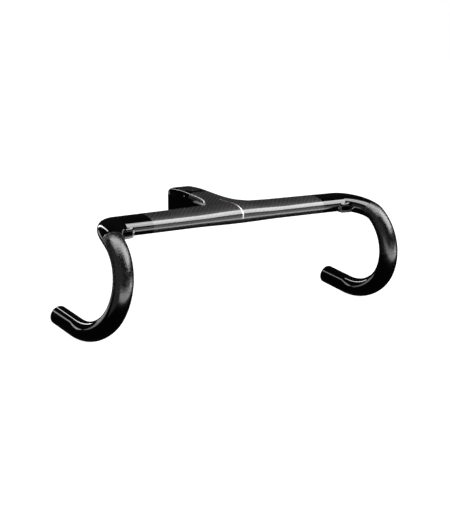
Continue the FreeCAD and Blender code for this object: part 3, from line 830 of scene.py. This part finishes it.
rubber = plain("rubber_matt", grey(0.004), grey(0.012), (0.55, 0.8), 900.0, bump=0.2)
steel = plain("bolt_black_oxide", grey(0.012), grey(0.05), (0.25, 0.5), 600.0, metallic=0.9, bump=0.1)
washer = plain("washer_turned", grey(0.35), grey(0.6), (0.2, 0.4), 500.0, metallic=1.0, stretch=(40, 1, 1))
aluminium = plain("insert_anodised", grey(0.3), grey(0.5), (0.3, 0.5), 700.0, metallic=1.0)
plastic = plain("cover_satin", grey(0.0015), grey(0.005), (0.22, 0.38), 1400.0, bump=0.15)
brass = plain("brass_knurled", (0.45, 0.3, 0.1), (0.75, 0.55, 0.25), (0.25, 0.45), 800.0, metallic=1.0)
sleeve = plain("sleeve_laminate_bare", grey(0.01), grey(0.03), (0.5, 0.7), 400.0, stretch=(1, 8, 8))
finishes = {
    rubber: ("left_port_grommet", "right_port_grommet", "top_cover_o_ring"),
    steel: ("upper_clamp_bolt", "lower_clamp_bolt", "front_cover_screw", "rear_cover_screw"),
    washer: ("upper_clamp_washer", "lower_clamp_washer"),
    aluminium: ("upper_clamp_insert", "lower_clamp_insert"),
    plastic: ("steerer_top_cover", "cable_cover"),
    brass: ("cable_cover_inserts", "computer_mount_inserts"),
    sleeve: ("left_joint_sleeve", "right_joint_sleeve"),
}
for material, names in finishes.items():
    for name in names:
        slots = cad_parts[name].data.materials
        if not slots:
            slots.append(material)
        for index in range(len(slots)):
            slots[index] = material

# ---- Floor, light and camera -----------------------------------------------------------------------------

AIM = Vector((-0.01353, -0.09776, -0.06232))    # what the camera and the panels point at
CAMERA_AZIMUTH, CAMERA_ELEVATION, CAMERA_FAR, CAMERA_LENS = -35.9399, 11.0978, 1.67827, 92.684
PANEL_FAR, FLOOR_HALF, FLOOR_GAP = 3.0, 60.0, 0.0005

corners = ((-1, -1), (1, -1), (1, 1), (-1, 1))
floor = mesh_object(
    "floor", [(x * FLOOR_HALF, y * FLOOR_HALF, cad_low.z - FLOOR_GAP) for x, y in corners], [(0, 1, 2, 3)])
floor.data.materials.append(Shader("floor_pale", {
    "Base Color": (0.1, 0.1, 0.1, 1), "Roughness": 0.9,
    "Emission Color": (1, 1, 1, 1), "Emission Strength": 1.0}).material)
floor.visible_glossy = False
floor.visible_diffuse = False


def direction(azimuth, elevation):
    """The way towards azimuth, 0 in front of the bar and 90 to its left, and elevation."""
    a, e = math.radians(azimuth), math.radians(elevation)
    return Vector((math.sin(a) * math.cos(e), -math.cos(a) * math.cos(e), math.sin(e)))


def stand(obj, location, azimuth, elevation):
    """Puts a light or the camera at location, with its back towards azimuth and elevation."""
    obj.location = location
    obj.rotation_mode = "QUATERNION"
    obj.rotation_quaternion = direction(azimuth, elevation).to_track_quat("Z", "Y")
    bpy.context.scene.collection.objects.link(obj)
    return obj


def soft_light(name, location, azimuth, elevation, wide, high, radiance):
    """A rectangle of light, wide and high in metres."""
    data = bpy.data.lights.new(name, "AREA")
    data.shape = "RECTANGLE"
    data.size, data.size_y = wide, high
    data.energy = radiance * math.pi * wide * high
    lamp = bpy.data.objects.new(name, data)
    lamp.visible_camera = False
    return stand(lamp, location, azimuth, elevation)


def panel(name, azimuth, elevation, wide, high, radiance):
    """A far soft light facing the bar, as wide and high as these angles in degrees."""
    wide, high = (2 * PANEL_FAR * math.tan(math.radians(angle / 2)) for angle in (wide, high))
    at = AIM + direction(azimuth, elevation) * PANEL_FAR
    return soft_light(name, at, azimuth, elevation, wide, high, radiance)


panel("top_panel", -24, 84.5, 72, 38, 9.0)
panel("front_left_panel", 55, 39, 50, 34, 10.0)
panel("horizon_panel", 25, -10, 60, 20, 1.3)
panel("low_left_panel", 60, -10, 18, 14, 6.0)
panel("dim_right_panel", -75, 5, 90, 60, 0.35)
panel("dim_back_panel", -163, -0.5, 31, 9, 1.4)
panel("back_strip", 177, 29, 5, 42, 8.0)
right_strip = panel("right_strip", -146, 26, 4, 42, 4.0)
lit_from_right = bpy.data.collections.new("lit_from_right")
for drop in drops.values():
    lit_from_right.objects.link(drop)
right_strip.light_linking.receiver_collection = lit_from_right
soft_light("low_card", (0.0, -0.26, -0.11), 0, -10, 0.7, 0.05, 5.0)

world = bpy.data.worlds.new("studio")
world.use_nodes = True
bpy.context.scene.world = world
tree = world.node_tree
tree.nodes.clear()
white = tree.nodes.new("ShaderNodeBackground")
white.inputs["Color"].default_value = (1, 1, 1, 1)
dim = tree.nodes.new("ShaderNodeBackground")
dim.inputs["Color"].default_value = (0.012, 0.012, 0.012, 1)
path = tree.nodes.new("ShaderNodeLightPath")
mixed = tree.nodes.new("ShaderNodeMixShader")
out = tree.nodes.new("ShaderNodeOutputWorld")
tree.links.new(path.outputs["Is Camera Ray"], mixed.inputs[0])
tree.links.new(dim.outputs[0], mixed.inputs[1])
tree.links.new(white.outputs[0], mixed.inputs[2])
tree.links.new(mixed.outputs[0], out.inputs[0])

bpy.context.scene.view_settings.view_transform = "Standard"
camera = bpy.data.objects.new("camera", bpy.data.cameras.new("camera"))
camera.data.lens = CAMERA_LENS
camera.data.sensor_width = 36.0
camera.data.clip_end = 50.0
camera_at = AIM + direction(CAMERA_AZIMUTH, CAMERA_ELEVATION) * CAMERA_FAR
bpy.context.scene.camera = stand(camera, camera_at, CAMERA_AZIMUTH, CAMERA_ELEVATION)
